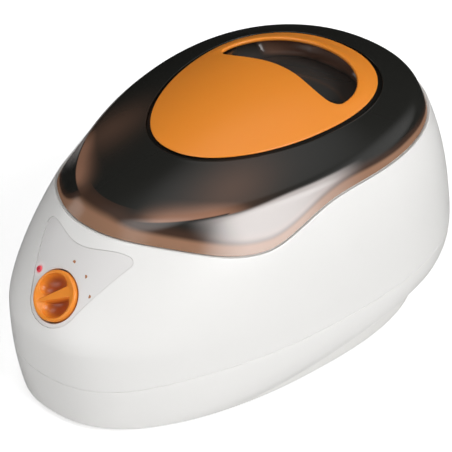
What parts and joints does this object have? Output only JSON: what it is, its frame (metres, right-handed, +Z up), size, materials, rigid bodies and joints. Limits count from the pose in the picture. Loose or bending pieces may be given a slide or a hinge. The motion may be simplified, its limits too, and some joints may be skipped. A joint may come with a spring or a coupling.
{
  "type": "paraffin wax warmer",
  "caption": "Table-top warm-wax bath: an egg-shaped tub with a heated tank, a lift-off domed lid with a handle plate, and a temperature knob on its nose.",
  "frame": {"origin": "on the floor under the middle of the tub's bounding box", "axes": "+Z up, -Y out of the nose with the knob, +X to the right of someone who faces the knob, so that the tub is symmetric across X = 0"},
  "size_m": [0.2396, 0.38, 0.1803],
  "materials": {
    "white_plastic": "glossy moulded white",
    "plinth_plastic": "satin off-white",
    "smoked_plastic": "glossy smoked brown, slightly see-through",
    "orange_plastic": "glossy orange",
    "foot_rubber": "matt dark grey",
    "zinc_steel": "zinc-plated steel",
    "tank_aluminium": "drawn aluminium sheet",
    "heater_silicone": "matt silicone rubber",
    "insulation_felt": "needled felt",
    "brass_metal": "plain brass",
    "copper_tube": "drawn copper",
    "black_plastic": "satin black",
    "block_plastic": "satin ivory",
    "red_lens": "clear red",
    "mark_print": "small brown dots",
    "mains_insulation": "wire sleeve, grey",
    "wire_insulation": "wire sleeve, red"
  },
  "bodies": {
    "tub": {"upper_shell": "white_plastic", "lower_shell": "white_plastic", "base_pan": "plinth_plastic", "feet": "foot_rubber", "base_screws": "zinc_steel", "rim_collar": "white_plastic", "control_panel": "white_plastic", "panel_marks": "mark_print", "thermostat_nut": "brass_metal", "thermostat": "zinc_steel", "thermostat_terminals": "brass_metal", "capillary_tube": "copper_tube", "sensor_bulb": "copper_tube", "bulb_clip": "zinc_steel", "indicator_lens": "red_lens", "indicator_lamp": "black_plastic", "tank": "tank_aluminium", "tank_gasket": "foot_rubber", "tank_screws": "zinc_steel", "wax_grille": "white_plastic", "insulation_jacket": "insulation_felt", "heater_mat": "heater_silicone", "heater_clamp": "tank_aluminium", "heater_studs": "zinc_steel", "heater_nuts": "zinc_steel", "shield_spacers": "zinc_steel", "heat_shield": "tank_aluminium", "shield_nuts": "zinc_steel", "thermal_fuse": "zinc_steel", "fuse_clip": "zinc_steel", "terminal_block": "block_plastic", "terminal_screws": "zinc_steel", "power_inlet": "black_plastic", "inlet_pins": "brass_metal", "mains_wires": "mains_insulation", "heater_wires": "wire_insulation", "control_wires": "wire_insulation"},
    "lid": {"lid": "smoked_plastic", "handle_plate": "orange_plastic", "handle_screws": "zinc_steel"},
    "knob": {"knob": "orange_plastic", "thermostat_spindle": "zinc_steel"}
  },
  "joints": [
    {"name": "lid_lift", "type": "slide", "parent": "tub", "child": "lid", "axis": [0, 0, 1], "range_m": [0, 0.15]},
    {"name": "knob_turn", "type": "hinge", "parent": "tub", "child": "knob", "pos_m": [0, -0.17498, 0.1007], "axis": [0, -0.7986, 0.6018], "range_deg": [-90, 180]}
  ]
}
